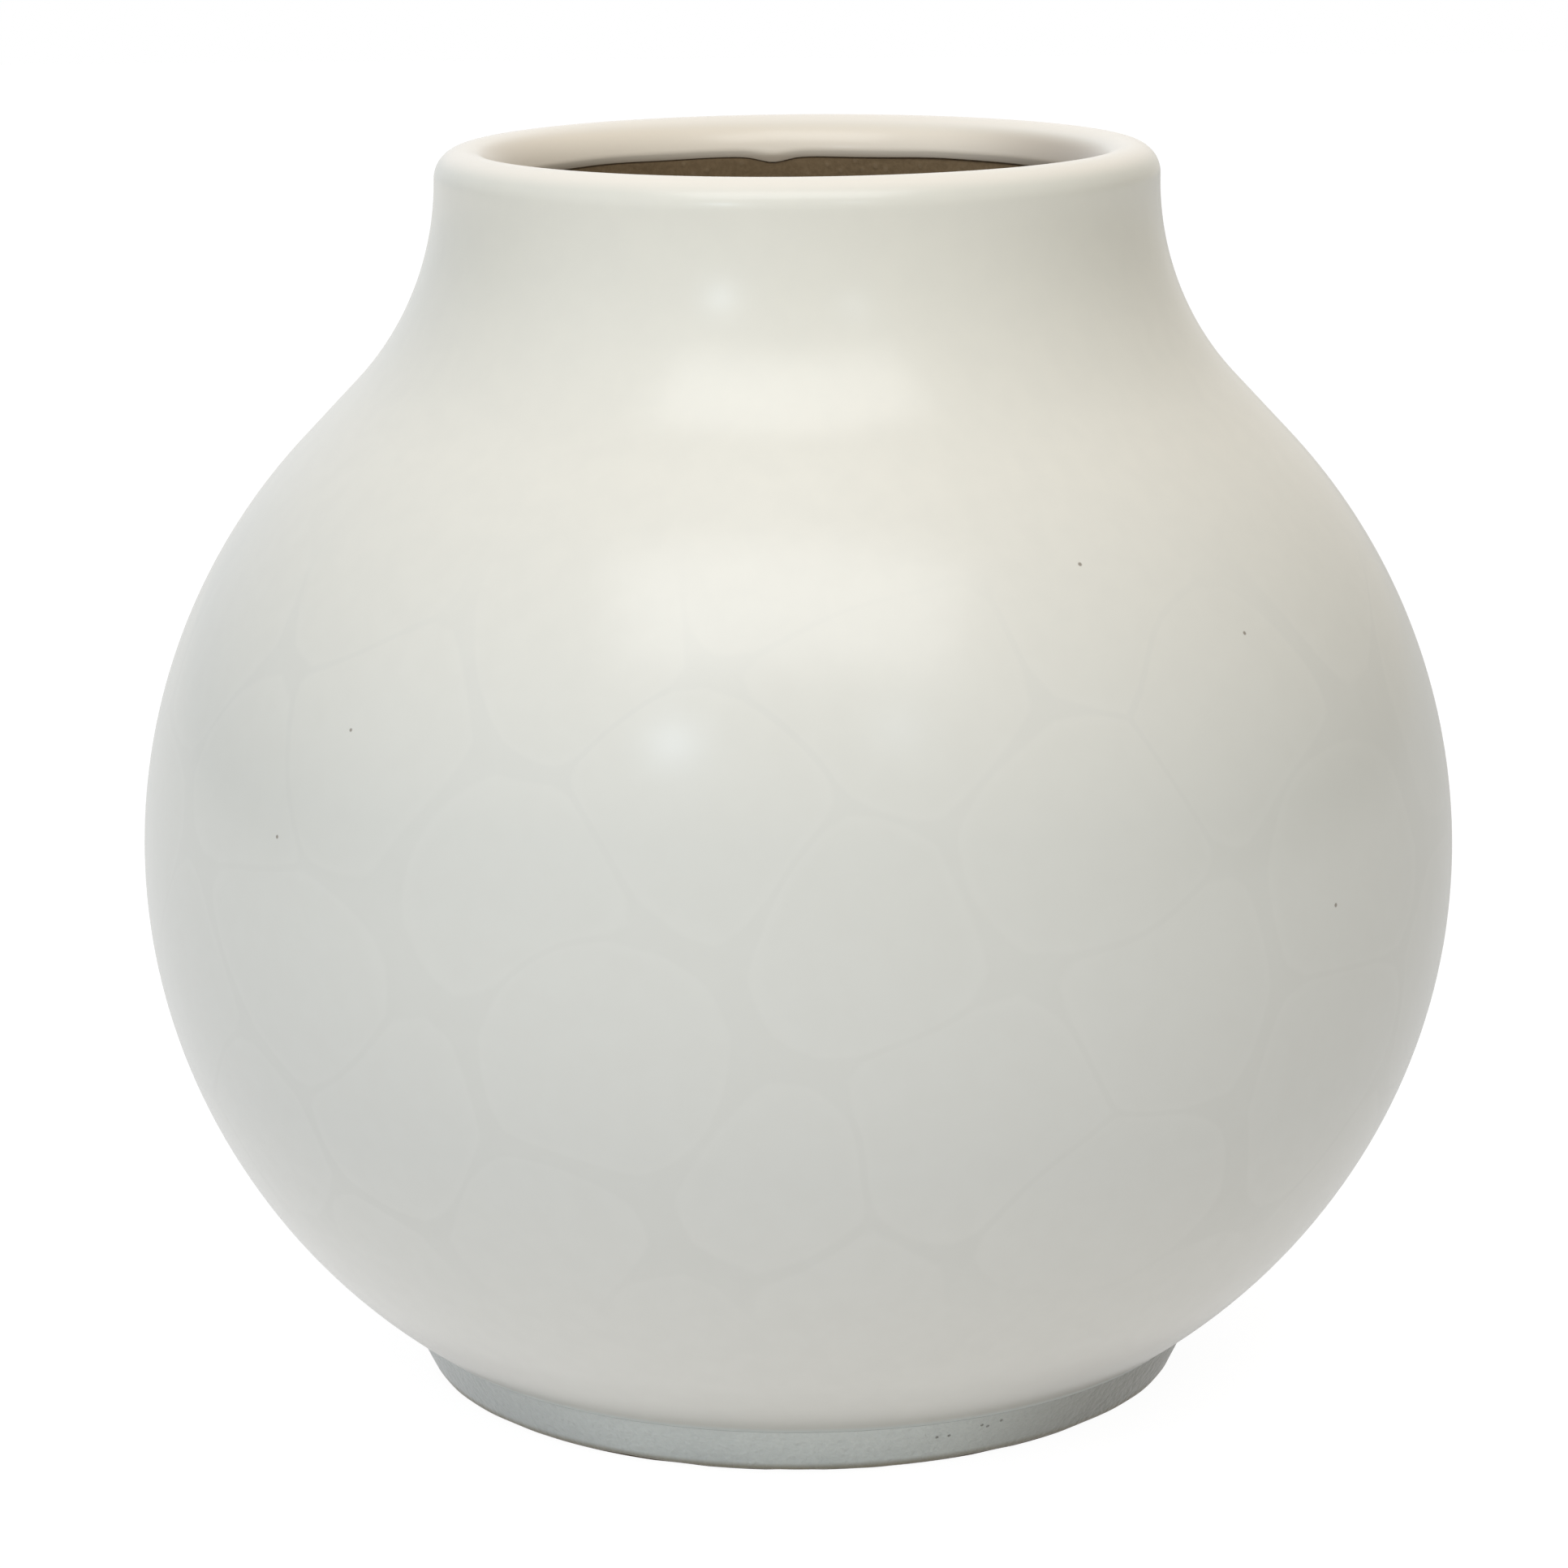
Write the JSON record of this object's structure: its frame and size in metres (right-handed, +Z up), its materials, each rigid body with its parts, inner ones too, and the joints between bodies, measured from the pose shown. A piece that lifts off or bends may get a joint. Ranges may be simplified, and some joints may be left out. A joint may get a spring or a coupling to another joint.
{
  "type": "moon jar",
  "caption": "Round-bellied white glazed jar of thrown bowls closed rim to rim, with a hollow-curved neck, rolled lip and low foot ring; stands free as a vase or store jar.",
  "frame": {"origin": "centre of the foot ring on the plane that the jar stands on", "axes": "+Z up along the jar's turning axis; the picture looks along +Y"},
  "size_m": [0.3, 0.3, 0.2814],
  "materials": {
    "brown_clay": "bare fired stoneware, matt",
    "joining_slip": "fired slip, matt",
    "white_glaze": "satin white glaze",
    "grey_glaze": "thin satin grey glaze"
  },
  "bodies": {
    "root": {"lower_bowl": "brown_clay", "upper_bowl": "brown_clay", "waist_slip": "joining_slip", "neck_collar": "brown_clay", "neck_slip": "joining_slip", "foot_ring": "brown_clay", "foot_slip": "joining_slip", "white_glaze": "white_glaze", "foot_glaze": "grey_glaze"}
  },
  "joints": []
}
